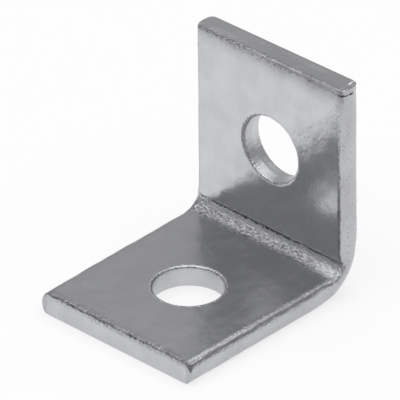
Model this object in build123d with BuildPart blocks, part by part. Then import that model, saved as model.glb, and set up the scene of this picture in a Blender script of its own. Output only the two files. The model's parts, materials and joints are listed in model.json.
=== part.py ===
from build123d import *
from math import cos, pi, radians, sin, sqrt, tan
import os

# Angle bracket: a short length of rolled flat bar, sheared at both ends, punched with a bolt hole
# near each end and folded square. X runs across the bar. The foot leg lies on Z = 0 and points
# towards -Y, the upright leg stands at the +Y end, and the origin is the middle of the bracket's
# footprint.

# Flat bar. The rolling mill leaves its long edges crowned, with a soft round at each corner, so
# the width is measured between the crests.
bar_width = 41.2
bar_thickness = 5.0
edge_crown = 0.9
edge_corner_radius = 1.0

# Legs, each measured over the outside of the fold
foot_length = 50.0
upright_height = 47.8

# Fold. The outside radius is larger than the inside radius and the thickness together, because the
# metal thins. The metal squeezed at the inside swells out sideways, and the metal stretched at the
# outside is drawn in. Both are greatest half way round, and die away along the legs.
inside_radius = 2.6
outside_radius = 8.2
side_swell = 0.7
side_draw = 1.2
swell_spread = 2.4
draw_spread = 6.2
fold_steps = 6
spread_steps = 4

# Sheared ends. The blade comes down on the inner face and rolls that edge over. The upright was
# cut a little out of square.
shear_rollover = 0.3
shear_skew = 1.2

# Punched holes, from the inner face outwards: a rolled rim, a straight land and a flared break-out
hole_diameter = 14.4
foot_hole_setback = 21.3
upright_hole_setback = 21.6
upright_hole_drift = 0.3
punch_rollover = 0.5
breakout_depth = 2.2
breakout_flare = 0.5

# Places worked out from the sizes
fold_turn = pi / 2
heel_y = foot_length / 2
toe_y = heel_y - foot_length
upright_inner_y = heel_y - bar_thickness
inside_centre_y = upright_inner_y - inside_radius
inside_centre_z = bar_thickness + inside_radius
outside_centre_y = heel_y - outside_radius
outside_centre_z = outside_radius
strained_foot_y = outside_centre_y - draw_spread
strained_upright_z = outside_centre_z + draw_spread
skew_rise = bar_width / 2 * tan(radians(shear_skew))
foot_hole_y = toe_y + foot_hole_setback
upright_hole_z = upright_height - upright_hole_setback


def fading(travel, fold_radius, spread):
    """Share of the greatest strain, so far along a face from the middle of its bend."""
    reach = fold_radius * fold_turn / 2 + spread
    return cos(min(abs(travel) / reach, 1) * pi / 2) ** 2


def draw_edge(inner_half, outer_half, depth):
    """Draws one long edge of the bar in section, and returns its ends on the inner and outer face."""
    crest = Vector((inner_half + outer_half) / 2, depth / 2)
    inner_corner = Vector(inner_half - edge_crown, 0)
    outer_corner = Vector(outer_half - edge_crown, depth)
    crown = ThreePointArc(inner_corner, crest, outer_corner, mode=Mode.PRIVATE)
    centre = crown.arc_center
    round_reach = crown.radius - edge_corner_radius
    ends = []
    tangent_points = []
    for face_level, round_level in ((0, edge_corner_radius), (depth, depth - edge_corner_radius)):
        lift = round_level - centre.Y
        to_round = Vector(sqrt(round_reach**2 - lift**2), lift)
        ends.append(Vector(centre.X + to_round.X, face_level))
        tangent_points.append(centre + to_round.normalized() * crown.radius)
    TangentArc(ends[0], tangent_points[0], tangent=(1, 0))
    ThreePointArc(tangent_points[0], crest, tangent_points[1])
    TangentArc(ends[1], tangent_points[1], tangent=(1, 0))
    return ends


def bar_section(inner_point, outer_point, inner_travel, outer_travel):
    """Section of the bar through a point on its inner face and one on its outer face.

    Each travel is the distance of that point along its face from the middle of the bend.
    """
    across = Vector(0, *outer_point) - Vector(0, *inner_point)
    inner_half = bar_width / 2 + side_swell * fading(inner_travel, inside_radius, swell_spread)
    outer_half = bar_width / 2 - side_draw * fading(outer_travel, outside_radius, draw_spread)
    section_plane = Plane((0, *inner_point), x_dir=(1, 0, 0), z_dir=Vector(1, 0, 0).cross(across))
    with BuildSketch(section_plane) as section:
        with BuildLine():
            inner_end, outer_end = draw_edge(inner_half, outer_half, across.length)
            mirror(about=Plane.YZ)
            Line((-inner_end.X, inner_end.Y), inner_end)
            Line((-outer_end.X, outer_end.Y), outer_end)
        make_face()
    return section.sketch


def foot_section(y):
    """Section of the foot leg where it is still straight, at a y on its inner face."""
    share = (y - strained_foot_y) / (inside_centre_y - strained_foot_y)
    outer_y = strained_foot_y + share * (outside_centre_y - strained_foot_y)
    inner_travel = inside_radius * fold_turn / 2 + inside_centre_y - y
    outer_travel = outside_radius * fold_turn / 2 + outside_centre_y - outer_y
    return bar_section((y, bar_thickness), (outer_y, 0), inner_travel, outer_travel)


def fold_section(turn):
    """Section of the fold where the bar has turned so far, in radians."""
    inner_point = (
        inside_centre_y + inside_radius * sin(turn),
        inside_centre_z - inside_radius * cos(turn),
    )
    outer_point = (
        outside_centre_y + outside_radius * sin(turn),
        outside_centre_z - outside_radius * cos(turn),
    )
    from_middle = turn - fold_turn / 2
    return bar_section(inner_point, outer_point, inside_radius * from_middle, outside_radius * from_middle)


def upright_section(z):
    """Section of the upright leg where it is still straight, at a z on its inner face."""
    share = (strained_upright_z - z) / (strained_upright_z - inside_centre_z)
    outer_z = strained_upright_z - share * (strained_upright_z - outside_centre_z)
    inner_travel = inside_radius * fold_turn / 2 + z - inside_centre_z
    outer_travel = outside_radius * fold_turn / 2 + outer_z - outside_centre_z
    return bar_section((upright_inner_y, z), (heel_y, outer_z), inner_travel, outer_travel)


def rolled_corner(corner_plane):
    """What a rolled edge lacks: the corner at the plane's origin, outside a quarter circle."""
    clear = -shear_rollover
    with BuildSketch(corner_plane) as corner:
        with BuildLine():
            Polyline(
                (shear_rollover, 0),
                (shear_rollover, clear),
                (clear, clear),
                (clear, shear_rollover),
                (0, shear_rollover),
            )
            TangentArc((0, shear_rollover), (shear_rollover, 0), tangent=(0, -1))
        make_face()
    return corner.sketch


def holed_faces(facing):
    """The two faces of a leg that its bolt hole opens through."""
    return angle_bracket.faces().filter_by(facing).filter_by(lambda face: face.inner_wires())


with BuildPart() as angle_bracket:
    # Fold, with the stretch of each leg beside it that it strains
    for section_at, start, end, steps in (
        (foot_section, strained_foot_y, inside_centre_y, spread_steps),
        (fold_section, 0, fold_turn, fold_steps),
        (upright_section, inside_centre_z, strained_upright_z, spread_steps),
    ):
        loft([section_at(start + (end - start) * step / steps) for step in range(steps + 1)])

    # Foot leg
    extrude(foot_section(strained_foot_y), amount=strained_foot_y - toe_y, dir=(0, -1, 0))

    # Upright leg, cut off by the skewed shear
    upright_run = upright_height + skew_rise - strained_upright_z
    extrude(upright_section(strained_upright_z), amount=upright_run, dir=(0, 0, 1))
    upright_end = Plane.XY.offset(upright_height).rotated((0, -shear_skew, 0))
    split(bisect_by=upright_end, keep=Keep.BOTTOM)

    # Rolled edge of each sheared end
    for corner, into_the_bar, along_the_edge in (
        ((0, toe_y, bar_thickness), (0, 1, 0), (-1, 0, 0)),
        ((0, upright_inner_y, upright_height), -upright_end.z_dir, upright_end.x_dir),
    ):
        end_corner = Plane(corner, x_dir=into_the_bar, z_dir=along_the_edge)
        extrude(rolled_corner(end_corner), amount=bar_width, both=True, mode=Mode.SUBTRACT)

    # Punched holes
    with Locations(Plane((0, foot_hole_y, bar_thickness), z_dir=(0, 0, 1))):
        Hole(hole_diameter / 2)
    with Locations(Plane((upright_hole_drift, upright_inner_y, upright_hole_z), z_dir=(0, -1, 0))):
        Hole(hole_diameter / 2)

    # Rolled rims, where the punch went in
    foot_inner_face = holed_faces(Plane.XY).sort_by(Axis.Z)[-1]
    fillet(foot_inner_face.inner_wires()[0].edges(), radius=punch_rollover)
    upright_inner_face = holed_faces(Plane.XZ).sort_by(Axis.Y)[0]
    fillet(upright_inner_face.inner_wires()[0].edges(), radius=punch_rollover)

    # Flared break-outs, where the slugs tore free
    for outer_face in (holed_faces(Plane.XY).sort_by(Axis.Z)[0], holed_faces(Plane.XZ).sort_by(Axis.Y)[-1]):
        rim = outer_face.inner_wires()[0].edges()
        chamfer(rim, length=breakout_flare, length2=breakout_depth, reference=outer_face)

angle_bracket.part.label = "angle_bracket"

os.makedirs("parts", exist_ok=True)
export_step(angle_bracket.part, "parts/angle_bracket.step")
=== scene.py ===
# %% [markdown]
# Angle bracket, dressed for its picture
#
# The bracket is one piece of steel: a short length of rolled flat bar, sheared at both ends,
# punched with two bolt holes, folded square in a press brake and plated with zinc. Nothing on it
# was machined, so almost everything that the eye enjoys comes from those rough processes: the
# rolled-over edges, the torn rims, the crushed skin inside the fold and the soft shine of the zinc.
# This script follows the workshop. It loads the measured model, lays out a flat blank as a fine
# mesh, roughens it, folds it, gives it its zinc, and then lights it.

# %% Load the measured model
import json
from math import cos, pi, radians, sin, sqrt, tan

import bmesh
import bpy
import numpy as np
from mathutils import Matrix, Vector


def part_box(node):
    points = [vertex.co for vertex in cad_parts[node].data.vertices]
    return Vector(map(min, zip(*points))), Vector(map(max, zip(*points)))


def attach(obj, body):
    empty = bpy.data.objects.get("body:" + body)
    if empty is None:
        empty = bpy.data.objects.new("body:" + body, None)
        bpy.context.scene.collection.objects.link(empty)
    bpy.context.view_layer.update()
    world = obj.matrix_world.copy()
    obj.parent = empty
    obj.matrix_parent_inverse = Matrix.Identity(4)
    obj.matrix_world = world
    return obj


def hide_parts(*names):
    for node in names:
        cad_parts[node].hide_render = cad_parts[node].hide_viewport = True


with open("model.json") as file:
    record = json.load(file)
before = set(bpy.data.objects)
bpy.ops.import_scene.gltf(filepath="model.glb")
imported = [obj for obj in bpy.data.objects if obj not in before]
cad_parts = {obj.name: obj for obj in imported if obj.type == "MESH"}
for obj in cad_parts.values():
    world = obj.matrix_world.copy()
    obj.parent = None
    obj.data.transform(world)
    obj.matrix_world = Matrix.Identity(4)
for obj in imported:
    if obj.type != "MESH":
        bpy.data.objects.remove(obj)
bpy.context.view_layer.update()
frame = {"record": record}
mm = 0.001
mounts = {mount["name"]: mount for mount in frame["record"]["mounts"]}
low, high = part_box("angle_bracket")
print("CAD node, size in mm:", [round(side / mm, 2) for side in high - low])

# %% [markdown]
# Sizes
#
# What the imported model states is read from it, so that this mesh can't drift away from the
# measured part: the thickness and the two holes come from the places where other parts are
# fastened, the legs and the width from the box around the node. The box doesn't give the radii of
# the fold and the edges, so they are named here. Two are a quarter of a millimetre larger than in
# the part, because the photograph shows them rounder: the corners of the bar and the rim of the
# upright's hole. The rolled sides of the sheared ends are in this mesh alone. The others have the
# values that they have in the part.

# %% Sizes of the flat bar, the fold and the holes
thickness = mounts["foot_inner_face"]["pos_m"][2]
width = round((high.x - low.x) / mm, 1) * mm
toe_y = low.y
heel_y = high.y
shear_skew = radians(1.2)
upright_height = high.z - width / 2 * tan(shear_skew)

edge_crown = 0.9 * mm
edge_corner_radius = 1.25 * mm
shear_rollover = 0.3 * mm
side_rollover = 0.55 * mm
side_rollover_depth = 3.0 * mm
foot_punch_rollover = 0.5 * mm
upright_punch_rollover = 0.75 * mm
breakout_depth = 2.2 * mm
breakout_flare = 0.5 * mm

inside_radius = 2.6 * mm
outside_radius = 8.2 * mm
side_swell = 0.7 * mm
side_draw = 1.2 * mm
swell_spread = 2.4 * mm
draw_spread = 6.2 * mm

foot_run = heel_y - thickness - inside_radius - toe_y
fold_run = inside_radius * pi / 2
upright_run = upright_height - thickness - inside_radius
blank_length = foot_run + fold_run + upright_run

hole_radius = mounts["foot_bolt_hole"]["dims"]["r_mm"] * mm
foot_hole = (0.0, mounts["foot_bolt_hole"]["pos_m"][1] - toe_y)
upright_hole = (
    mounts["upright_bolt_hole"]["pos_m"][0],
    blank_length - (upright_height - mounts["upright_bolt_hole"]["pos_m"][2]),
)
blank_sizes = [round(size / mm, 1) for size in (blank_length, width, thickness)]
print("blank in mm:", blank_sizes, "holes in mm:", round(2 * hole_radius / mm, 1))

# %% [markdown]
# The flat blank
#
# Before it is folded the bracket is a flat strip with two holes. A strip is easy to mesh well: a
# grid of quads over each face, with a square window left open around each hole, and rings of quads
# that turn the square window into the round rim. Two faces, the long edges, the sheared ends and
# the walls of the holes are patches that share their border points, so they weld into one closed
# skin. The mesh is finer where the real surface is busy: at the sheared ends, at the rims and where
# the bar will fold. It is laid out in the bar's own measures: across, travel along the bar from the
# toe, and height over the floor, with the inner face up.

# %% Section of the bar: its half width at a depth
crown_radius = ((thickness / 2) ** 2 + edge_crown**2) / (2 * edge_crown)
crown_centre = width / 2 - crown_radius
corner_lift = thickness / 2 - edge_corner_radius
corner_reach = sqrt((crown_radius - edge_corner_radius) ** 2 - corner_lift**2)
flat_half = crown_centre + corner_reach
tangent_depth = thickness / 2 - corner_lift * crown_radius / (crown_radius - edge_corner_radius)


def half_width(depth):
    """Half the bar's width at a depth: a crowned edge with a small radius at each corner."""
    near = np.minimum(depth, thickness - depth)
    corner = flat_half + np.sqrt(np.maximum(edge_corner_radius**2 - (edge_corner_radius - near) ** 2, 0))
    crown = crown_centre + np.sqrt(np.maximum(crown_radius**2 - (thickness / 2 - near) ** 2, 0))
    return np.where(near < tangent_depth, corner, crown)


print(f"flat part of a face: {2 * flat_half / mm:.2f} mm of {width / mm:.1f} mm")

# %% Lines of the mesh, along the bar, across it and through it
window_half = 10.0 * mm
window_steps = 58
ring_steps = 10
end_zone = 4.0 * mm
side_zone = 1.4 * mm
fold_margin = 2.2 * mm
corner_steps = 6
crown_steps = 6


def lines(*stretches):
    """Places of mesh lines: each stretch is where it ends and how many steps it has."""
    places = [stretches[0][0]]
    for end, steps in stretches[1:]:
        places += list(np.linspace(places[-1], end, steps + 1)[1:])
    return np.array(places)


travel_lines = lines(
    (0.0,),
    (end_zone, 18),
    (foot_hole[1] - window_half, 21),
    (foot_hole[1] + window_half, window_steps),
    (foot_run - fold_margin, 27),
    (foot_run + fold_run + fold_margin, 42),
    (upright_hole[1] - window_half, 20),
    (upright_hole[1] + window_half, window_steps),
    (blank_length - end_zone, 22),
    (blank_length, 18),
)
across_lines = lines(
    (-flat_half,),
    (-flat_half + side_zone, 8),
    (-window_half, 24),
    (window_half, window_steps),
    (flat_half - side_zone, 24),
    (flat_half, 8),
)
corner_turn = np.arccos(1 - tangent_depth / edge_corner_radius)
corner_depths = edge_corner_radius * (1 - np.cos(np.linspace(0, corner_turn, corner_steps + 1)))
crown_depths = np.linspace(tangent_depth, thickness / 2, crown_steps + 1)[1:]
half_depths = np.concatenate([corner_depths, crown_depths])
depth_lines = np.concatenate([half_depths, thickness - half_depths[-2::-1]])
print(len(travel_lines), "lines along,", len(across_lines), "across,", len(depth_lines), "through")

# %% Patches of the blank
patches = []


def add_patch(across, travel, depth, left_out=None):
    """Keeps a grid of points, and which of its cells are left out."""
    across, travel, depth = np.broadcast_arrays(across, travel, depth)
    patches.append((np.stack([across, travel, depth], axis=-1), left_out))


# Both faces, with a window left open around each hole
cell_across = (across_lines[:-1] + across_lines[1:]) / 2
cell_travel = (travel_lines[:-1] + travel_lines[1:]) / 2
across_window = abs(cell_across) < window_half
in_window = np.zeros((len(cell_across), len(cell_travel)), bool)
for centre in (foot_hole, upright_hole):
    along_window = abs(cell_travel - centre[1]) < window_half
    in_window |= across_window[:, None] & along_window[None, :]
for face_depth in (0.0, thickness):
    add_patch(across_lines[:, None], travel_lines[None, :], face_depth, in_window)

# Crowned long edges
for side in (-1, 1):
    add_patch(side * half_width(depth_lines)[None, :], travel_lines[:, None], depth_lines[None, :])

# Sheared ends
for end in (0.0, blank_length):
    spread = across_lines[:, None] / flat_half
    add_patch(spread * half_width(depth_lines)[None, :], end, depth_lines[None, :])

# %% Rings around the holes, and their walls
# The rings lie closer together towards the rim
ring_crowding = 1.4
rim_steps = 6
land_steps = 5
flare_steps = 6

# Once round the window from one of its corners, with an equal turn about the hole at each step
steps = np.arange(4 * window_steps + 1)
window_side, along = np.divmod(steps, window_steps)
window_side = window_side % 4
turn = radians(-135) + steps / window_steps * pi / 2
slide = (2 * along / window_steps - 1) * window_half
first_sides = [window_side == 0, window_side == 1, window_side == 2]
square_across = np.select(first_sides, [slide, window_half, -slide], -window_half)
square_travel = np.select(first_sides, [-window_half, slide, window_half], -slide)


def bore_radius(depth, rollover):
    """Radius of a punched hole at a depth: a rolled rim, a straight land and a flared break-out."""
    rolled = np.maximum(rollover - depth, 0)
    rim = rollover - np.sqrt(rollover**2 - rolled**2)
    flare = np.maximum(depth - (thickness - breakout_depth), 0) / breakout_depth * breakout_flare
    return hole_radius + rim + flare


ring = np.linspace(0, 1, ring_steps + 1) ** ring_crowding
for centre, rollover in ((foot_hole, foot_punch_rollover), (upright_hole, upright_punch_rollover)):
    for face_depth in (0.0, thickness):
        rim = bore_radius(face_depth, rollover)
        across = rim * np.cos(turn)[:, None] * (1 - ring) + square_across[:, None] * ring
        travel = rim * np.sin(turn)[:, None] * (1 - ring) + square_travel[:, None] * ring
        add_patch(across + centre[0] * (1 - ring), travel + centre[1], face_depth)
    rim_depths = rollover * (1 - np.cos(np.linspace(0, pi / 2, rim_steps + 1)))
    below_rim = lines((rollover,), (thickness - breakout_depth, land_steps), (thickness, flare_steps))
    wall_depths = np.concatenate([rim_depths, below_rim[1:]])
    wall_radius = bore_radius(wall_depths, rollover)[None, :]
    wall_across = wall_radius * np.cos(turn)[:, None] + centre[0]
    wall_travel = wall_radius * np.sin(turn)[:, None] + centre[1]
    add_patch(wall_across, wall_travel, wall_depths[None, :])
print(len(patches), "patches")

# %% [markdown]
# Sheared ends, a knock and a crease
#
# The blade of the shear rolls one edge over before it cuts, and the cut isn't quite square. A plated
# bracket is tumbled with hundreds of others, and a corner that sticks out gets knocked flat. Inside
# the fold the squeezed skin has nowhere to go, so it slides into a crease. All of these are moves of
# points that are already in the grid, so one function makes them, and the patches still meet because
# points at the same place move the same way.

# %% Sizes of the marks that change the outline of the blank
# The left part of the upright's cut slopes down towards the inner face
slope_drop = 0.18 * mm
slope_reach = 2.5 * mm
slope_places = np.array([-14.0, 4.0]) * mm

# The toe's right corner was knocked flat twice: which way each flat faces, and how deep it cuts in
knocked_corner = np.array([width / 2 - edge_crown, 0, thickness])
knocks = (
    (np.array([0.57, -0.03, 0.82]), 0.30 * mm),
    (np.array([0.75, -0.40, 0.53]), 0.52 * mm),
)
knock_softness = 0.06 * mm

# The squeezed skin inside the fold has slid into a crease, close under the upright
crease_depth = 0.30 * mm
crease_places = np.array([-0.9, 1.5, 1.9]) * mm
crease_reach = 1.2 * mm
crease_wander = 0.07 * mm
crease_waves = np.array([2.1, 0.83]) * mm
print(len(knocks), "flats on the knocked corner, crease", crease_depth / mm, "mm deep")


# %% Roll the edges over, skew the cut, press the crease in and cut the knocked corner off
def shape_ends(points):
    """Rolls the edges over, skews the cut, presses the crease in and cuts the knocked corner off.

    The points come with their depth under the inner face and go back with their height.
    """
    across, travel, depth = points[..., 0], points[..., 1].copy(), points[..., 2]
    from_side = half_width(depth) - np.abs(across)
    over_face = np.clip(1 - depth / shear_rollover, 0, 1)
    over_side = np.clip(1 - from_side / side_rollover, 0, 1) * np.clip(1 - depth / side_rollover_depth, 0, 1)
    rolled = np.minimum(np.hypot(over_face, over_side), 1)
    setback = np.where(over_side > over_face, side_rollover, shear_rollover) * (1 - np.sqrt(1 - rolled**2))
    slope = slope_drop * np.interp(across, slope_places, (1, 0)) * np.clip(1 - depth / slope_reach, 0, 1)
    near_toe = np.clip(1 - travel / end_zone, 0, 1)
    near_top = np.clip(1 - (blank_length - travel) / end_zone, 0, 1)
    beyond_hole = blank_length - upright_hole[1] - window_half
    skewed = np.clip(1 - (blank_length - travel) / beyond_hole, 0, 1)
    wander = crease_wander * np.sin(across[..., None] / crease_waves).sum(axis=-1)
    past_fold = travel - foot_run - fold_run / 2
    crease = np.interp(past_fold + wander, crease_places, (0, 1, 0)) * np.clip(1 - depth / crease_reach, 0, 1)
    travel += setback * (near_toe - near_top) - slope * near_top + across * tan(shear_skew) * skewed
    points = np.stack([across, travel, thickness - depth - crease_depth * crease], axis=-1)
    for facing, knock_depth in knocks:
        beyond = (points - knocked_corner) @ facing + knock_depth
        cut = knock_softness * np.logaddexp(0, beyond / knock_softness)
        points = points - cut[..., None] * facing
    return points


# %% [markdown]
# One closed skin
#
# The patches become quads of one mesh. Points that two patches share lie at the same place, so
# merging what is closer than two microns welds the skin shut, and then the normals can be turned
# outward. An open edge would let light in and make the piece useless for printing, so they are
# counted.

# %% Weld the patches into one closed skin
weld_distance = 0.002 * mm
blank_bm = bmesh.new()
for points, left_out in patches:
    grid = shape_ends(points)
    rows, columns = grid.shape[:2]
    verts = [[blank_bm.verts.new(grid[i, j]) for j in range(columns)] for i in range(rows)]
    for i in range(rows - 1):
        for j in range(columns - 1):
            if left_out is None or not left_out[i, j]:
                blank_bm.faces.new((verts[i][j], verts[i + 1][j], verts[i + 1][j + 1], verts[i][j + 1]))
bmesh.ops.delete(blank_bm, geom=[v for v in blank_bm.verts if not v.link_faces], context="VERTS")
bmesh.ops.remove_doubles(blank_bm, verts=blank_bm.verts, dist=weld_distance)
bmesh.ops.recalc_face_normals(blank_bm, faces=blank_bm.faces)
blank = bpy.data.meshes.new("flat_blank")
blank_bm.to_mesh(blank)
open_edges = sum(not edge.is_manifold for edge in blank_bm.edges)
blank_bm.free()
print("blank:", len(blank.vertices), "points,", len(blank.polygons), "quads, open edges:", open_edges)

# %% [markdown]
# Marks that the workshop leaves
#
# The later steps need to know how near a point is to a sheared end, to the rim of a hole and to
# the fold, because the steel is rough there and smooth elsewhere. Those distances are easy to work
# out while the blank is flat, so they are stored on its points as attributes. The marks tree and the
# zinc's material both read them by name.

# %% Store the distances on the blank, in mm
points = np.empty(len(blank.vertices) * 3)
blank.vertices.foreach_get("co", points)
across, travel, height = points.reshape(-1, 3).T
from_top = blank_length - travel - across * tan(shear_skew)
from_rims = [
    np.hypot(across - centre[0], travel - centre[1]) - hole_radius
    for centre in (foot_hole, upright_hole)
]
distances = {
    "from_inner_face": thickness - height,
    "from_end": np.minimum(travel, from_top),
    "from_rim": np.minimum(*from_rims),
    "from_top": from_top,
    "past_fold": travel - foot_run - fold_run / 2,
    "past_flat": np.abs(across) - flat_half,
    "across_bar": across,
    "along_bar": travel,
}
for name, distance in distances.items():
    blank.attributes.new(name, "FLOAT", "POINT").data.foreach_set("value", distance / mm)
print("stored", list(distances))

# %% [markdown]
# Nodes
#
# Most of what follows is built from nodes: two Geometry Nodes trees, the materials and the room. A
# node is a kind, a few settings and what is fed into it, so one function adds any node, and tables
# list what repeats. Both trees take a mesh, some numbers and the steel, so a second function starts
# a tree with an input for each.

# %% One small function adds a node
def add_node(tree, kind, inputs=None, **settings):
    """Adds a node with its settings. An input is a socket to link to, or a value to set."""
    node = tree.nodes.new(kind)
    for setting, value in settings.items():
        setattr(node, setting, value)
    for socket, value in (inputs or {}).items():
        if isinstance(value, bpy.types.NodeSocket):
            tree.links.new(value, node.inputs[socket])
        else:
            node.inputs[socket].default_value = value
    return node


# %% A second function starts a Geometry Nodes tree
def start_tree(name, numbers, subtype="NONE"):
    """Starts a tree with named inputs, and returns it with the identifier of each input."""
    tree = bpy.data.node_groups.new(name, "GeometryNodeTree")
    for direction in ("INPUT", "OUTPUT"):
        tree.interface.new_socket("Geometry", in_out=direction, socket_type="NodeSocketGeometry")
    identifiers = {}
    for number in numbers:
        socket = tree.interface.new_socket(number, in_out="INPUT", socket_type="NodeSocketFloat")
        socket.subtype = subtype
        identifiers[number] = socket.identifier
    steel = tree.interface.new_socket("Steel", in_out="INPUT", socket_type="NodeSocketMaterial")
    identifiers["Steel"] = steel.identifier
    return tree, identifiers


# %% [markdown]
# Rough skin
#
# Rolling leaves the faces a little wavy. The shear drags the steel at the cut ends and tears their
# edges, the punch does the same around the holes, and the fold crushes the skin on its inside.
# Each of these is a dent along the surface's normal: a noise with the grain of that process, kept
# to the place that the process touches. It only ever goes inwards, so the piece doesn't outgrow the
# measured one. A Geometry Nodes tree adds the dents up, with the depth of each one as an input. It
# works on the flat blank, so the fold bends the marks with the bar.

# %% Geometry Nodes tree for the marks
marks = {
    # Depth in mm, grain in mm (across, along, through), and where: attribute, full at, gone at in mm
    "Rolling waves": (0.150, (10.0, 13.0, 10.0), (("from_inner_face", 3.0, 4.8),)),
    "Uneven skin": (0.036, (2.5, 3.0, 2.5), (("from_inner_face", 3.0, 4.8),)),
    "Crushed skin": (
        0.080, (0.9, 0.7, 0.9),
        (("past_fold", 1.5, 2.7), ("past_fold", -1.5, -2.7), ("from_inner_face", 0.4, 1.4)),
    ),
    "Shear drag": (0.090, (0.6, 3.0, 0.6), (("from_end", 0.2, 2.6), ("from_inner_face", 0.6, 2.4))),
    "Torn shear edge": (0.090, (1.3, 1.0, 1.0), (("from_end", 0.25, 0.8), ("from_inner_face", 0.25, 0.8))),
    "Torn rim": (0.070, (0.9, 0.9, 0.7), (("from_rim", 0.4, 0.8), ("from_inner_face", 0.3, 0.8))),
    "Torn break-out": (0.060, (0.6, 0.6, 1.6), (("from_rim", 0.6, 0.9), ("from_inner_face", 3.4, 2.8))),
    "Mill skin": (0.030, (0.8, 1.8, 0.8), (("past_flat", 0.1, -0.2),)),
    "Mill waves": (0.120, (4.0, 7.0, 3.0), (("past_flat", 0.3, -0.3),)),
}
grain_seed = 7.0
noise_detail = 2.0
# The part of the noise that is spread over the whole dent, from its bottom to the level surface
dent_low, dent_high = 0.25, 0.75

marks_tree, marks_inputs = start_tree("workshop_marks", ("Seed", *marks))
marks_in = add_node(marks_tree, "NodeGroupInput").outputs
flat_place = add_node(marks_tree, "GeometryNodeInputPosition").outputs[0]
dents = []
for name, (depth, grain, places) in marks.items():
    scale = [1 / (size * mm) for size in grain]
    grained = add_node(marks_tree, "ShaderNodeVectorMath", {0: flat_place, 1: scale}, operation="MULTIPLY")
    noise = add_node(
        marks_tree, "ShaderNodeTexNoise",
        {"Vector": grained.outputs[0], "W": marks_in["Seed"], "Scale": 1.0, "Detail": noise_detail},
        noise_dimensions="4D",
    )
    share = add_node(
        marks_tree, "ShaderNodeMapRange",
        {0: noise.outputs[0], 1: dent_low, 2: dent_high, 3: -1.0, 4: 0.0},
    ).outputs[0]
    for attribute, full, gone in places:
        distance = add_node(
            marks_tree, "GeometryNodeInputNamedAttribute", {0: attribute}, data_type="FLOAT",
        )
        mask = add_node(
            marks_tree, "ShaderNodeMapRange", {0: distance.outputs[0], 1: full, 2: gone, 3: 1.0, 4: 0.0},
            interpolation_type="SMOOTHSTEP",
        )
        share = add_node(
            marks_tree, "ShaderNodeMath", {0: share, 1: mask.outputs[0]}, operation="MULTIPLY",
        ).outputs[0]
    dent = add_node(marks_tree, "ShaderNodeMath", {0: share, 1: marks_in[name]}, operation="MULTIPLY")
    dents.append(dent.outputs[0])
total = dents[0]
for dent in dents[1:]:
    total = add_node(marks_tree, "ShaderNodeMath", {0: total, 1: dent}, operation="ADD").outputs[0]
normal = add_node(marks_tree, "GeometryNodeInputNormal")
offset = add_node(
    marks_tree, "ShaderNodeVectorMath", {0: normal.outputs[0], "Scale": total}, operation="SCALE",
)
marked = add_node(
    marks_tree, "GeometryNodeSetPosition",
    {"Geometry": marks_in["Geometry"], "Offset": offset.outputs[0]},
)
whole = add_node(marks_tree, "GeometryNodeRealizeInstances", {0: marked.outputs[0]})
coated = add_node(
    marks_tree, "GeometryNodeSetMaterial",
    {"Geometry": whole.outputs[0], "Material": marks_in["Steel"]},
)
add_node(marks_tree, "NodeGroupOutput", {0: coated.outputs[0]})
print("marks tree:", len(marks_tree.nodes), "nodes")

# %% [markdown]
# The fold
#
# A press brake bends the blank over a rounded die. The rule is simple enough to write down: a point
# keeps its place across the bar, goes straight along the foot, turns a quarter circle, and goes
# straight up the upright. The inner face turns on a small radius and the outer face on a larger one
# about its own centre, which is how the thinning comes in, and the bar swells sideways where it is
# squeezed and draws in where it is stretched. Geometry Nodes suit such a rule: one tree moves every
# point, and each size of the fold is an input with a name. The sums are written as lines of a table,
# one Math node each, so that they read like the formulas.

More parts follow.
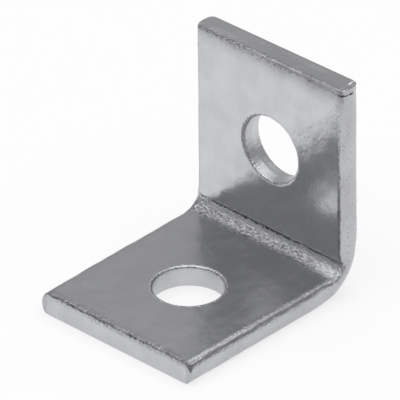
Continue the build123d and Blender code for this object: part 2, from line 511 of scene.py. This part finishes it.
# %% Geometry Nodes tree that folds the blank
fold_sizes = {
    "Toe": toe_y, "Foot run": foot_run, "Thickness": thickness, "Half width": width / 2,
    "Inside radius": inside_radius, "Outside radius": outside_radius, "Side swell": side_swell,
    "Side draw": side_draw, "Swell spread": swell_spread, "Draw spread": draw_spread,
}
fold_tree, fold_inputs = start_tree("fold_the_bar", fold_sizes, subtype="DISTANCE")
fold_in = add_node(fold_tree, "NodeGroupInput").outputs
blank_place = add_node(fold_tree, "GeometryNodeInputPosition")
place = add_node(fold_tree, "ShaderNodeSeparateXYZ", {0: blank_place.outputs[0]})
fold_sums = (
    # How far the bar has turned here, and how far the point is along each leg
    ("past foot", "SUBTRACT", "travel", "Foot run"),
    ("on foot", "MINIMUM", "travel", "Foot run"),
    ("any turn", "DIVIDE", "past foot", "Inside radius"),
    ("some turn", "MAXIMUM", "any turn", 0.0),
    ("turn", "MINIMUM", "some turn", pi / 2),
    ("fold run", "MULTIPLY", "Inside radius", pi / 2),
    ("past fold", "SUBTRACT", "past foot", "fold run"),
    ("up", "MAXIMUM", "past fold", 0.0),
    ("sine", "SINE", "turn"),
    ("cosine", "COSINE", "turn"),
    ("one less cosine", "SUBTRACT", 1.0, "cosine"),
    # The outer arc starts before the inner one, and the legs between take up the difference
    ("radii", "SUBTRACT", "Outside radius", "Inside radius"),
    ("lead", "SUBTRACT", "radii", "Thickness"),
    ("reach", "ADD", "Draw spread", "lead"),
    ("before fold", "SUBTRACT", "Foot run", "on foot"),
    ("before share", "DIVIDE", "before fold", "reach"),
    ("foot straight", "MINIMUM", "before share", 1.0),
    ("after share", "DIVIDE", "up", "reach"),
    ("upright straight", "MINIMUM", "after share", 1.0),
    ("foot lead", "MULTIPLY", "lead", "foot straight"),
    ("upright lead", "MULTIPLY", "lead", "upright straight"),
    # Place on the inner face
    ("along foot", "ADD", "Toe", "on foot"),
    ("inner y", "MULTIPLY_ADD", "Inside radius", "sine", "along foot"),
    ("above face", "ADD", "Thickness", "up"),
    ("inner z", "MULTIPLY_ADD", "Inside radius", "one less cosine", "above face"),
    # Place on the outer face
    ("foot short", "SUBTRACT", "foot lead", "lead"),
    ("under foot", "ADD", "along foot", "foot short"),
    ("outer y", "MULTIPLY_ADD", "Outside radius", "sine", "under foot"),
    ("behind upright", "SUBTRACT", "up", "upright lead"),
    ("outer z", "MULTIPLY_ADD", "Outside radius", "one less cosine", "behind upright"),
    # Share of the greatest strain, fading from the middle of the fold along each face
    ("half fold", "MULTIPLY", "fold run", 0.5),
    ("inner way", "SUBTRACT", "past foot", "half fold"),
    ("inner distance", "ABSOLUTE", "inner way"),
    ("swell reach", "ADD", "half fold", "Swell spread"),
    ("inner ratio", "DIVIDE", "inner distance", "swell reach"),
    ("inner fade", "MINIMUM", "inner ratio", 1.0),
    ("inner angle", "MULTIPLY", "inner fade", pi / 2),
    ("inner strain", "COSINE", "inner angle"),
    ("swell share", "MULTIPLY", "inner strain", "inner strain"),
    ("from middle", "SUBTRACT", "turn", pi / 4),
    ("outer turn", "MULTIPLY_ADD", "Outside radius", "from middle", "behind upright"),
    ("foot way", "SUBTRACT", "before fold", "foot lead"),
    ("outer way", "SUBTRACT", "outer turn", "foot way"),
    ("outer distance", "ABSOLUTE", "outer way"),
    ("draw reach", "MULTIPLY_ADD", "Outside radius", pi / 4, "Draw spread"),
    ("outer ratio", "DIVIDE", "outer distance", "draw reach"),
    ("outer fade", "MINIMUM", "outer ratio", 1.0),
    ("outer angle", "MULTIPLY", "outer fade", pi / 2),
    ("outer strain", "COSINE", "outer angle"),
    ("draw share", "MULTIPLY", "outer strain", "outer strain"),
    # Between the faces the point keeps its share of the depth
    ("depth", "SUBTRACT", "Thickness", "height"),
    ("depth share", "DIVIDE", "depth", "Thickness"),
    ("height share", "SUBTRACT", 1.0, "depth share"),
    ("swell", "MULTIPLY", "Side swell", "swell share"),
    ("draw", "MULTIPLY", "Side draw", "draw share"),
    ("swell here", "MULTIPLY", "swell", "height share"),
    ("draw here", "MULTIPLY", "draw", "depth share"),
    ("wider", "SUBTRACT", "swell here", "draw here"),
    ("wider share", "DIVIDE", "wider", "Half width"),
    ("x", "MULTIPLY_ADD", "across", "wider share", "across"),
)
folded = {name: fold_in[name] for name in fold_sizes}
folded.update(across=place.outputs[0], travel=place.outputs[1], height=place.outputs[2])
for name, operation, *terms in fold_sums:
    inputs = {socket: folded.get(term, term) for socket, term in enumerate(terms)}
    folded[name] = add_node(fold_tree, "ShaderNodeMath", inputs, operation=operation, label=name).outputs[0]
face_places = [
    add_node(
        fold_tree, "ShaderNodeCombineXYZ",
        {0: folded["x"], 1: folded[face + " y"], 2: folded[face + " z"]},
    ).outputs[0]
    for face in ("inner", "outer")
]
folded_place = add_node(
    fold_tree, "ShaderNodeMix", {0: folded["depth share"], 4: face_places[0], 5: face_places[1]},
    data_type="VECTOR", clamp_factor=False,
)
moved = add_node(
    fold_tree, "GeometryNodeSetPosition",
    {"Geometry": fold_in["Geometry"], "Position": folded_place.outputs[1]},
)
real = add_node(fold_tree, "GeometryNodeRealizeInstances", {0: moved.outputs[0]})
plated = add_node(
    fold_tree, "GeometryNodeSetMaterial",
    {"Geometry": real.outputs[0], "Material": fold_in["Steel"]},
)
add_node(fold_tree, "NodeGroupOutput", {0: plated.outputs[0]})
print("fold tree:", len(fold_tree.nodes), "nodes")

# %% [markdown]
# Zinc plate
#
# Bright zinc is a metal a few microns thick over the rolled steel: a neutral grey with a touch of
# blue, fairly smooth but never a mirror, because the mill skin under it is finely pitted. The plate
# is the same all over, and what differs is the steel under it: smooth on the faces, torn at the
# cuts, crushed inside the fold, pitted along the mill edges and scored in the holes. So there is one
# metal here, and masks say how rough, how dark and how uneven it is from place to place; some of the
# darkness is painted shade. The pattern is laid out in the flat blank's own measures, which the fold
# carried along, so it neither stretches nor tears where the bar bends.

# %% Colours as linear values
def linear(hex_colour):
    """Linear colour with alpha, from sRGB hex, by the curve of the sRGB standard."""
    channels = []
    for start in (0, 2, 4):
        value = int(hex_colour[start:start + 2], 16) / 255
        channels.append(value / 12.92 if value <= 0.04045 else ((value + 0.055) / 1.055) ** 2.4)
    return (*channels, 1.0)


plate_colour = linear("CBCCCF")
# Dark colour for soot in the pits, and for the shade painted along edges, into hollows and over the foot
soot_and_shade_colour = linear("3F3D45")
print("plate reflects", round(plate_colour[0], 2), "of the light, soot in its pits", round(soot_and_shade_colour[0], 2))

# %% Material, laid out on the flat blank's measures
zinc = bpy.data.materials.new("bright_zinc_plated_steel")
zinc.use_nodes = True
zinc_tree = zinc.node_tree
zinc_tree.nodes.clear()
flat_map = add_node(
    zinc_tree, "ShaderNodeCombineXYZ",
    {axis: add_node(zinc_tree, "ShaderNodeAttribute", attribute_name=name).outputs["Fac"]
     for axis, name in enumerate(("across_bar", "along_bar", "from_inner_face"))},
).outputs[0]
print("zinc is laid out on across_bar, along_bar and from_inner_face")

# %% [markdown]
# Ragged borders
#
# No tool's mark ends on a ruled line. A fine noise shifts every stored distance by up to a quarter
# of a millimetre before it is compared with anything, so each border breaks up a little, and the
# marks that share a border break up together, as they do on the real edge.

# %% Shift of the borders, in mm
border_grain = 0.7
border_shift = 0.25
border_low, border_high = 0.3, 0.7
ragged_map = add_node(
    zinc_tree, "ShaderNodeVectorMath", {0: flat_map, "Scale": 1 / border_grain}, operation="SCALE",
)
ragged_noise = add_node(
    zinc_tree, "ShaderNodeTexNoise",
    {"Vector": ragged_map.outputs[0], "Scale": 1.0, "Detail": noise_detail},
)
ragged = add_node(
    zinc_tree, "ShaderNodeMapRange",
    {0: ragged_noise.outputs[0], 1: border_low, 2: border_high, 3: -border_shift, 4: border_shift},
)
print("borders wander by", border_shift, "mm")

# %% [markdown]
# Where each process left its mark, and where shade is painted
#
# A zone is a product of fades. Each fade looks at one stored distance and goes from full to gone
# between two values in mm: the torn edge, for one, is full within about half a millimetre of the
# cut and of the inner face. Because the distances were stored on the flat blank, the same few lines
# work on both legs and round the fold. Some zones also say where shade is painted into the colour:
# below the top end, at its left end, under the lip, along the fold's crease and over the foot.

# %% Zones: the stored distance, and where in mm the mark is full and gone
zones = {
    "crushed": (("past_fold", 1.3, 1.7), ("past_fold", -1.8, -2.4), ("from_inner_face", 0.5, 1.6)),
    # Inside the fold: crushed specks over painted shade
    "squeezed": (
        ("past_fold", -0.1, 0.6), ("past_fold", -1.8, -2.4), ("from_inner_face", 0.5, 1.6),
        ("across_bar", 9.0, 19.0),
    ),
    "ridge": (
        ("past_flat", 0.6, 0.8), ("past_flat", -0.3, -0.6), ("from_inner_face", 0.7, 1.0),
        ("across_bar", 1.0, 0.0), ("past_fold", 1.0, 2.6),
    ),
    # Along the crease at the top of the fold, where shade is painted
    "fold line": (
        ("past_fold", 1.60, 1.75), ("past_fold", 1.45, 1.25), ("from_inner_face", 0.3, 0.6),
        ("across_bar", 7.0, 17.0),
    ),
    "fold ridge": (("past_fold", 2.00, 2.25), ("past_fold", 1.90, 1.65), ("from_inner_face", 0.3, 0.6)),
    "dragged": (("from_end", 0.9, 2.6), ("from_inner_face", 0.5, 1.8)),
    "torn": (("from_end", 0.50, 0.65), ("from_inner_face", 0.42, 0.55)),
    "rim": (("from_rim", 0.6, 0.9), ("from_inner_face", 0.4, 0.9)),
    "bored": (("from_rim", 0.45, 0.6), ("from_inner_face", 0.6, 0.3)),
    "milled": (("past_flat", 0.3, 0.05),),
    "corner": (
        ("past_flat", -0.20, -0.33), ("past_flat", -0.06, 0.04), ("from_inner_face", 0.1, 0.3),
        ("across_bar", 1.0, 0.0),
    ),
    # The groove under the lip at the top's right corner: dented, and painted with shade
    "lip groove": (
        ("from_top", 0.62, 0.80), ("from_top", 0.42, 0.30), ("past_flat", 0.1, -0.1),
        ("from_inner_face", 2.4, 3.6), ("across_bar", 1.0, 0.0),
    ),
    "end face": (("from_end", 0.05, 0.3),),
    "scuffed": (
        ("from_end", 0.05, 0.3), ("from_inner_face", 0.6, 1.9), ("past_fold", -20.0, -10.0),
        ("across_bar", -4.0, -12.0),
    ),
    # The foot's inner face: a little rougher, and darkened as painted shade
    "foot leg": (("past_fold", -3.0, -1.0), ("from_inner_face", 0.3, 0.8)),
    "near top": (("from_top", 0.2, 5.0), ("from_inner_face", 0.4, 0.9)),
    # Below the top end and at its left end, shade is painted into the colour
    "below top": (("from_top", 0.45, 0.15), ("from_top", 0.6, 5.0), ("from_inner_face", 0.4, 0.9)),
    "top left": (("from_top", 0.4, 1.8), ("from_inner_face", 0.4, 0.9), ("across_bar", -14.0, -4.0)),
    "soft end": (("from_top", 1.2, 2.2), ("across_bar", -14.0, -5.0)),
    "on upright": (("past_fold", 4.0, 2.0),),
    "rim shade": (
        ("from_rim", 0.60, 0.85), ("from_inner_face", 0.5, 0.8), ("across_bar", -4.5, -2.0),
        ("from_top", 23.0, 28.0),
    ),
}
finish_and_shade = {}
for name, places in zones.items():
    finish_and_shade[name] = 1.0
    for attribute, full, gone in places:
        distance = add_node(zinc_tree, "ShaderNodeAttribute", attribute_name=attribute).outputs["Fac"]
        shifted = add_node(zinc_tree, "ShaderNodeMath", {0: distance, 1: ragged.outputs[0]}, operation="ADD")
        share = add_node(
            zinc_tree, "ShaderNodeMapRange", {0: shifted.outputs[0], 1: full, 2: gone, 3: 1.0, 4: 0.0},
            interpolation_type="SMOOTHSTEP",
        )
        finish_and_shade[name] = add_node(
            zinc_tree, "ShaderNodeMath", {0: finish_and_shade[name], 1: share.outputs[0]}, operation="MULTIPLY",
        ).outputs[0]
print(len(zones), "zones")

# %% [markdown]
# Grain of each process
#
# Torn steel is short-grained, dragged steel is stretched along the pull, a punch scores the wall of
# its hole from one side to the other, and a fold pulls its specks out across the bar. The true
# grain of plated mill skin is about a tenth of a millimetre. This picture has five pixels to the
# millimetre, so a grain that fine wouldn't show, and the fine ones here are drawn several times
# coarser than they are. The clouds and patches, of 5 to 9 mm, have their real size.

# %% Grains in mm across, along and through the bar, and the part of the noise that becomes 0 to 1
grains = {
    "cloud": ((5.0, 6.0, 5.0), 0.35, 0.65),
    "skin grain": ((0.7, 0.9, 0.7), 0.3, 0.7),
    "speck": ((0.35, 0.35, 0.35), 0.58, 0.66),
    "crush grain": ((0.55, 0.33, 0.36), 0.3, 0.7),
    "crush speck": ((0.70, 0.36, 0.44), 0.40, 0.60),
    "drag speck": ((0.45, 0.7, 0.45), 0.52, 0.60),
    "tear grain": ((0.5, 0.4, 0.5), 0.3, 0.7),
    "drag grain": ((0.45, 1.6, 0.45), 0.3, 0.7),
    "score grain": ((0.4, 0.4, 3.0), 0.3, 0.7),
    "mill grain": ((0.5, 0.9, 0.5), 0.3, 0.7),
    "break grain": ((2.6, 1.0, 1.0), 0.40, 0.56),
    "patch": ((9.0, 9.0, 9.0), 0.38, 0.56),
    "line grain": ((0.8, 2.5, 0.8), 0.38, 0.52),
}
for name, (size, low_end, high_end) in grains.items():
    scale = [1 / side for side in size]
    scaled = add_node(zinc_tree, "ShaderNodeVectorMath", {0: flat_map, 1: scale}, operation="MULTIPLY")
    noise = add_node(
        zinc_tree, "ShaderNodeTexNoise",
        {"Vector": scaled.outputs[0], "Scale": 1.0, "Detail": noise_detail},
    )
    finish_and_shade[name] = add_node(
        zinc_tree, "ShaderNodeMapRange", {0: noise.outputs[0], 1: low_end, 2: high_end},
    ).outputs[0]
print(len(grains), "grains")

# %% [markdown]
# How the marks add up
#
# Three things are worked out: how rough the zinc is, how dark its colour is, from soot in its pits
# and from shade painted along its edges and into its hollows, and how high its fine relief stands.
# Each line of the table is one Math node, with its name, what it does and what it takes, so that the
# sums can be read and changed like formulas.

# %% Sums for roughness, dark share and relief
finish_and_shade_sums = (
    # Roughness: smooth on the flats, duller where the steel is torn, crushed or scored
    ("hard end", "SUBTRACT", 1.0, "soft end"),
    ("torn edge", "MULTIPLY", "torn", "hard end"),
    ("rim tear", "MULTIPLY", "rim", 0.85),
    ("torn or rim", "MAXIMUM", "torn edge", "rim tear"),
    ("broken", "MAXIMUM", "torn edge", "crushed"),
    ("clear satin", "MULTIPLY_ADD", "cloud", 0.06, 0.17),
    ("satin", "MULTIPLY_ADD", "foot leg", 0.05, "clear satin"),
    ("broken satin", "MULTIPLY_ADD", "broken", 0.14, "satin"),
    ("torn satin", "MULTIPLY_ADD", "torn edge", 0.30, "broken satin"),
    ("rim satin", "MULTIPLY_ADD", "rim", 0.04, "torn satin"),
    ("bored satin", "MULTIPLY_ADD", "bored", 0.18, "rim satin"),
    ("roughness", "MULTIPLY_ADD", "milled", 0.05, "bored satin"),
    # Dark share: soot in the pits, and painted shade along the cut edges, in crease and groove, near the
    # ends, round a rim and on the foot
    ("drag pits", "MULTIPLY", "dragged", 0.65),
    ("rim pits", "MULTIPLY", "rim", 0.75),
    ("dragged or rim", "MAXIMUM", "drag pits", "rim pits"),
    ("crush pits", "MULTIPLY", "crushed", 0.5),
    ("pitted place", "MAXIMUM", "dragged or rim", "crush pits"),
    ("milled patch", "MULTIPLY", "milled", "patch"),
    ("mill pits", "MULTIPLY", "milled patch", 0.35),
    ("any pits", "MAXIMUM", "pitted place", "mill pits"),
    ("pits", "MULTIPLY", "any pits", "speck"),
    # Painted shade along each sheared edge: a broken dark line that also dims the lamp's reflection on the
    # rolled edge, fainter near the top
    ("broken line", "MULTIPLY_ADD", "break grain", 0.36, 0.16),
    ("torn share", "MULTIPLY_ADD", "drag speck", 0.34, "broken line"),
    ("torn dark", "MULTIPLY", "torn edge", "torn share"),
    ("near top share", "MULTIPLY_ADD", "near top", -0.66, 1.0),
    ("top share", "MULTIPLY_ADD", "top left", -0.20, "near top share"),
    ("edge breaks", "MULTIPLY", "torn dark", "top share"),
    ("corner strength", "MULTIPLY_ADD", "on upright", 0.04, 0.40),
    ("corner share", "MULTIPLY", "line grain", "corner strength"),
    ("corner breaks", "MULTIPLY", "corner", "corner share"),
    # Painted shade along the crease where the fold meets the upright, broken up by the line grain
    ("fold breaks", "MULTIPLY", "fold line", "line grain"),
    ("line breaks", "MAXIMUM", "corner breaks", "fold breaks"),
    # Painted shade: the groove under the lip at the top end's right corner is coloured fully dark
    ("line or groove", "MAXIMUM", "line breaks", "lip groove"),
    ("breaks", "MAXIMUM", "edge breaks", "line or groove"),
    # Crushed specks inside the fold, over an even painted shade
    ("crush share", "MULTIPLY_ADD", "crush speck", 0.52, 0.27),
    ("squeeze dark", "MULTIPLY", "squeezed", "crush share"),
    # Near each sheared end: drag specks over an even painted shade, deeper below the top end and at its left
    # end
    ("patchy specks", "MULTIPLY", "drag speck", "patch"),
    ("drag share", "MULTIPLY_ADD", "patchy specks", 0.35, 0.10),
    ("drag specks", "MULTIPLY", "dragged", "drag share"),
    ("below top dark", "MULTIPLY_ADD", "below top", 0.30, "drag specks"),
    ("drag dark", "MULTIPLY_ADD", "top left", 0.14, "below top dark"),
    ("ridge share", "MULTIPLY", "crush speck", 0.12),
    ("ridge dark", "MULTIPLY", "ridge", "ridge share"),
    # Specks and painted shade from the fold and the ends, with the ridge's specks
    ("squeeze or drag", "MAXIMUM", "squeeze dark", "drag dark"),
    ("worn dark", "MAXIMUM", "squeeze or drag", "ridge dark"),
    ("shaded", "MULTIPLY", "rim shade", 0.42),
    ("scuff share", "MULTIPLY_ADD", "drag speck", 0.40, 0.22),
    ("scuffs", "MULTIPLY", "scuffed", "scuff share"),
    ("shaded or scuffed", "MAXIMUM", "shaded", "scuffs"),
    ("worn or shaded", "MAXIMUM", "worn dark", "shaded or scuffed"),
    ("broken dark", "MAXIMUM", "breaks", "worn or shaded"),
    ("dark", "MAXIMUM", "pits", "broken dark"),
    ("cloudy", "MULTIPLY", "cloud", 0.08),
    ("end dull", "MULTIPLY_ADD", "end face", 0.06, "cloudy"),
    # Painted shade: the foot's whole inner face is coloured darker
    ("foot dull", "MULTIPLY_ADD", "foot leg", 0.115, "end dull"),
    ("mill dull", "MULTIPLY_ADD", "milled", 0.14, "foot dull"),
    ("darkened", "MULTIPLY_ADD", "dark", 0.9, "mill dull"),
    # Relief in mm
    ("crush", "MULTIPLY", "crushed", "crush grain"),
    ("tear", "MULTIPLY", "torn or rim", "tear grain"),
    ("drag", "MULTIPLY", "dragged", "drag grain"),
    ("score", "MULTIPLY", "bored", "score grain"),
    ("mill", "MULTIPLY", "milled", "mill grain"),
    ("scrape", "MULTIPLY", "end face", "score grain"),
    ("skin relief", "MULTIPLY", "skin grain", 0.009),
    ("ridged", "MULTIPLY", "ridge", "crush grain"),
    ("with crush", "MULTIPLY_ADD", "crush", 0.06, "skin relief"),
    ("with corner", "MULTIPLY_ADD", "ridged", 0.04, "with crush"),
    ("with ridge", "MULTIPLY_ADD", "fold ridge", 0.10, "with corner"),
    ("with groove", "MULTIPLY_ADD", "lip groove", -0.08, "with ridge"),
    ("with tear", "MULTIPLY_ADD", "tear", 0.06, "with groove"),
    ("with drag", "MULTIPLY_ADD", "drag", 0.03, "with tear"),
    ("with score", "MULTIPLY_ADD", "score", 0.036, "with drag"),
    ("with mill", "MULTIPLY_ADD", "mill", 0.032, "with score"),
    ("relief", "MULTIPLY_ADD", "scrape", 0.010, "with mill"),
)
for name, operation, *terms in finish_and_shade_sums:
    inputs = {socket: finish_and_shade.get(term, term) for socket, term in enumerate(terms)}
    finish_and_shade[name] = add_node(zinc_tree, "ShaderNodeMath", inputs, operation=operation, label=name).outputs[0]
print(len(finish_and_shade_sums), "sums")

# %% [markdown]
# The metal itself
#
# One Principled shader at full Metallic, with its IOR left alone. The eye reads bright zinc by the
# soft blur of what it mirrors, by the sparkle where the crushed and torn steel turns facets to the
# lamp, and by the dark broken lines along the cuts, which are shade painted into its colour.

# %% Shader of the zinc plate
colour = add_node(
    zinc_tree, "ShaderNodeMix", {0: finish_and_shade["darkened"], 6: plate_colour, 7: soot_and_shade_colour}, data_type="RGBA",
)
bump = add_node(zinc_tree, "ShaderNodeBump", {"Height": finish_and_shade["relief"], "Distance": mm, "Strength": 1.0})
surface = add_node(
    zinc_tree, "ShaderNodeBsdfPrincipled",
    {
        "Base Color": colour.outputs[2], "Metallic": 1.0,
        "Roughness": finish_and_shade["roughness"], "Normal": bump.outputs[0],
    },
)
add_node(zinc_tree, "ShaderNodeOutputMaterial", {0: surface.outputs[0]})
print("zinc:", len(zinc_tree.nodes), "nodes")

# %% [markdown]
# From blank to bracket
#
# The two trees work one after the other, as the two machines did: the marks first, while the bar is
# flat, and then the press brake. Each input is set by its socket's identifier before the first
# evaluation. What comes out is kept as a plain mesh and the modifiers are taken off. It is the same
# piece of steel as the measured model's only node, so it takes that node's place and rides where it
# rides.

# %% Fold the blank and keep the result as a plain mesh
sharp_angle = radians(35)
bracket = bpy.data.objects.new("folded_bracket", blank)
bpy.context.scene.collection.objects.link(bracket)
shop = bracket.modifiers.new("workshop marks", "NODES")
shop.node_group = marks_tree
shop[marks_inputs["Seed"]] = grain_seed
for name, (depth, grain, places) in marks.items():
    shop[marks_inputs[name]] = depth * mm
shop[marks_inputs["Steel"]] = zinc
press = bracket.modifiers.new("press brake", "NODES")
press.node_group = fold_tree
for name, size in fold_sizes.items():
    press[fold_inputs[name]] = size
press[fold_inputs["Steel"]] = zinc
evaluated = bracket.evaluated_get(bpy.context.evaluated_depsgraph_get())
folded_mesh = bpy.data.meshes.new_from_object(evaluated)
bracket.modifiers.clear()
bracket.data = folded_mesh
folded_mesh.shade_smooth()
folded_mesh.set_sharp_from_angle(angle=sharp_angle)
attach(bracket, "root")
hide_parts("angle_bracket")
triangles = sum(len(face.vertices) - 2 for face in folded_mesh.polygons)
print("bracket:", len(folded_mesh.vertices), "points,", triangles, "triangles")

# %% [markdown]
# Camera
#
# The photograph was taken from far away with a long lens, so its edges stay almost parallel. The
# camera stands on the line that the bracket's own outline gives: 43.6 degrees to the right of its
# front and 32.3 degrees above the floor, and turned by 0.6 degrees. These were found by laying the
# model's outline over the photograph's until they agreed to about a third of a pixel. The distance
# was chosen. The outline puts it near five metres, but from so far off the views from other sides
# lose the bracket, and at three metres nothing in the picture moves by more than half a pixel. The
# frame follows from two numbers: how many pixels a millimetre takes at the pivot, and which pixel
# the pivot falls on.

# %% Camera at the photograph's place
azimuth = radians(43.57)
elevation = radians(32.26)
roll = radians(0.59)
picture_side = 400
pixels_per_mm = 4.989
pivot = Vector((0, 0, 20 * mm))
pivot_pixel = (200.54, 214.98)
distance = 3000 * mm
sensor_side = 36.0

right = Vector((cos(azimuth), sin(azimuth), 0))
back = Vector((cos(elevation) * sin(azimuth), -cos(elevation) * cos(azimuth), sin(elevation)))
up = back.cross(right)
camera_right = right * cos(roll) - up * sin(roll)
camera_up = right * sin(roll) + up * cos(roll)
aim = (
    pivot
    + camera_right * (picture_side / 2 - pivot_pixel[0]) / pixels_per_mm * mm
    + camera_up * (pivot_pixel[1] - picture_side / 2) / pixels_per_mm * mm
)
camera_data = bpy.data.cameras.new("camera")
camera_data.sensor_width = sensor_side
camera_data.lens = sensor_side * pixels_per_mm * (distance / mm) / picture_side
camera = bpy.data.objects.new("camera", camera_data)
turned = Matrix((camera_right, camera_up, back)).transposed().to_4x4()
camera.matrix_world = Matrix.Translation(aim + back * distance) @ turned
bpy.context.scene.collection.objects.link(camera)
bpy.context.scene.camera = camera
print(f"lens {camera_data.lens:.0f} mm at {distance:.2f} m")

# %% [markdown]
# Floor
#
# A metal shows what is around it, so the look of the zinc is mostly settled by the next three
# steps. The bracket stands on white paper. The upright, the end of the foot and the long edge mirror
# that paper, which is why they look light. To the camera, and in what metal or glass would show,
# the paper glows white in part, and the rest of it is plain matt paper, which keeps the bracket's
# soft shadow.

# %% Floor
floor_mesh = bpy.data.meshes.new("floor")
floor_half = 3.0
floor_level = low.z - 0.02 * mm
paper_colour = linear("F7F7F7")
glow_share = 0.72
floor_corners = [
    (x * floor_half, y * floor_half, floor_level) for x, y in ((-1, -1), (1, -1), (1, 1), (-1, 1))
]
floor_mesh.from_pydata(floor_corners, [], [(0, 1, 2, 3)])
floor = bpy.data.objects.new("floor", floor_mesh)
bpy.context.scene.collection.objects.link(floor)
paper = bpy.data.materials.new("white_paper")
paper.use_nodes = True
paper_tree = paper.node_tree
paper_tree.nodes.clear()
matt = add_node(paper_tree, "ShaderNodeBsdfDiffuse", {"Color": paper_colour})
glow = add_node(paper_tree, "ShaderNodeEmission", {"Color": (1, 1, 1, 1), "Strength": 1.0})
path = add_node(paper_tree, "ShaderNodeLightPath").outputs
seen = path["Is Camera Ray"]
for kind in ("Is Glossy Ray", "Is Transmission Ray"):
    seen = add_node(paper_tree, "ShaderNodeMath", {0: seen, 1: path[kind]}, operation="MAXIMUM").outputs[0]
share = add_node(paper_tree, "ShaderNodeMath", {0: seen, 1: glow_share}, operation="MULTIPLY")
both = add_node(
    paper_tree, "ShaderNodeMixShader", {0: share.outputs[0], 1: matt.outputs[0], 2: glow.outputs[0]},
)
add_node(paper_tree, "ShaderNodeOutputMaterial", {0: both.outputs[0]})
floor_mesh.materials.append(paper)
print("paper", 2 * floor_half, "m wide, glowing by", glow_share)

# %% [markdown]
# Lamp
#
# One round soft lamp hangs over the bracket. It is large for its height, so shadows have no edge
# and every rounded edge finds it somewhere: it is the bright line along the foot's long edge and
# the sparkle inside the fold. Its level is low enough that the foot, which mirrors the whole lamp
# from above, doesn't clip.

# %% Lamp
lamp_height = 1.2
lamp_side = 2.3
lamp_level = 1.40
lamp_area = pi * lamp_side**2 / 4
lamp_data = bpy.data.lights.new("soft_lamp", "AREA")
lamp_data.shape = "DISK"
lamp_data.size = lamp_side
lamp_data.energy = lamp_level * pi * lamp_area
lamp = bpy.data.objects.new("soft_lamp", lamp_data)
lamp.location = (0, 0, lamp_height)
lamp.visible_camera = False
bpy.context.scene.collection.objects.link(lamp)
print(f"lamp {lamp_side} m wide at {lamp_height} m, {lamp_data.energy:.1f} W")

# %% [markdown]
# Room
#
# The rest is a dim grey room, which the foot and the top end mirror towards the camera, so its level
# is what makes them mid grey, together with the shade painted on the foot's inner face. The wall
# behind the bracket is lighter than the one behind the camera, as in a studio with a pale backdrop.

# %% Room
behind_bracket = (-0.68, 0.73, 0.0)
dim_wall = 0.24
pale_wall = 0.46
world = bpy.data.worlds.new("room")
world.use_nodes = True
bpy.context.scene.world = world
room_tree = world.node_tree
room_tree.nodes.clear()
looking = add_node(room_tree, "ShaderNodeTexCoord").outputs["Generated"]
toward_wall = add_node(
    room_tree, "ShaderNodeVectorMath", {0: looking, 1: behind_bracket}, operation="DOT_PRODUCT",
)
wall = add_node(
    room_tree, "ShaderNodeMapRange",
    {0: toward_wall.outputs["Value"], 1: -1.0, 2: 1.0, 3: dim_wall, 4: pale_wall},
)
room = add_node(room_tree, "ShaderNodeBackground", {"Color": wall.outputs[0], "Strength": 1.0})
add_node(room_tree, "ShaderNodeOutputWorld", {0: room.outputs[0]})

bpy.context.scene.view_settings.view_transform = "Standard"
print("room's walls from", dim_wall, "to", pale_wall)
